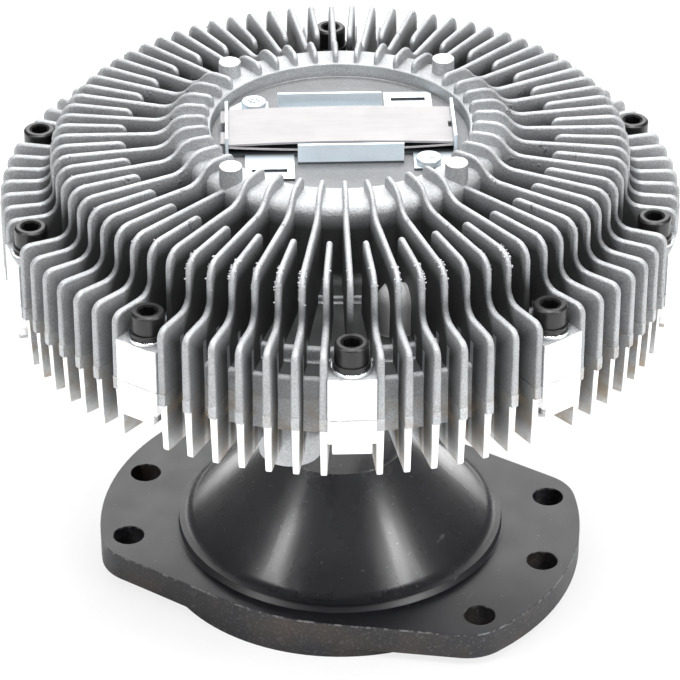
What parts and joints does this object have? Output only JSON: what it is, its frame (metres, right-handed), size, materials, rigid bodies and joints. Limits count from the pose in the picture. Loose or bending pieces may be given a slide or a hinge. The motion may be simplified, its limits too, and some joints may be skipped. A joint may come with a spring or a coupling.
{
  "type": "viscous fan clutch",
  "caption": "Viscous fan clutch: finned cast housing that turns on a ball bearing around a flanged steel drive hub, with bimetal strips on the front that work its fluid valve.",
  "frame": {"origin": "centre of the hub's seat face, on the shaft's axis", "axes": "+Z runs forward along the shaft, away from the engine; +X through the middle hole of one bolting lobe"},
  "size_m": [0.2734, 0.2716, 0.2122],
  "materials": {
    "hub_steel": "black oxide on turned steel, satin, with fine scratches",
    "bearing_steel": "ground and polished bearing steel",
    "rotor_aluminium": "machined",
    "cage_brass": "pressed, plain",
    "body_casting": "shot-blasted die casting, satin grey",
    "cover_casting": "shot-blasted die casting, satin grey",
    "seal_rubber": "moulded, matte",
    "spring_steel": "phosphated spring steel",
    "black_fastener": "black oxide, satin",
    "zinc_washer": "bright zinc",
    "valve_steel": "plain rolled or ground steel",
    "zinc_sheet": "blue zinc on pressed sheet",
    "zinc_screw": "blue zinc",
    "bimetal": "rolled strip, satin, warm grey"
  },
  "bodies": {
    "hub": {"drive_hub": "hub_steel", "bearing_inner_ring": "bearing_steel", "rotor_disc": "rotor_aluminium"},
    "ball_set": {"bearing_balls": "bearing_steel", "bearing_cage": "cage_brass"},
    "housing": {"rear_body": "body_casting", "front_cover": "cover_casting", "bearing_outer_ring": "bearing_steel", "bearing_seals": "seal_rubber", "bearing_retaining_ring": "spring_steel", "cover_seal": "seal_rubber", "cap_screws": "black_fastener", "lock_washers": "black_fastener", "flat_washers": "zinc_washer", "reservoir_plate": "valve_steel", "plate_screws": "zinc_washer", "valve_rivet": "zinc_washer", "pin_seal": "seal_rubber", "bimetal_bracket": "zinc_sheet", "bracket_screws": "zinc_screw", "upper_bimetal_strip": "bimetal", "lower_bimetal_strip": "bimetal"},
    "control_pin": {"control_pin": "valve_steel"},
    "valve_arm": {"valve_arm": "valve_steel"}
  },
  "joints": [
    {"name": "housing_spin", "type": "hinge", "parent": "hub", "child": "housing", "pos_m": [0, 0, 0.13], "axis": [0, 0, 1], "continuous": true},
    {"name": "ball_spin", "type": "hinge", "parent": "hub", "child": "ball_set", "pos_m": [0, 0, 0.13], "axis": [0, 0, 1], "continuous": true},
    {"name": "pin_slide", "type": "slide", "parent": "housing", "child": "control_pin", "axis": [0, 0, 1], "range_m": [0, 0.0015], "deforming": ["lower_bimetal_strip"]},
    {"name": "arm_hinge", "type": "hinge", "parent": "housing", "child": "valve_arm", "pos_m": [-0.03501, -0.01479, 0.1672], "axis": [0.3891, -0.9212, 0], "range_deg": [0, 2.3]}
  ],
  "couplings": [
    {"joint": "ball_spin", "follows": "housing_spin", "ratio": 0.5907},
    {"joint": "arm_hinge", "follows": "pin_slide", "rad_per_m": 26.316}
  ]
}
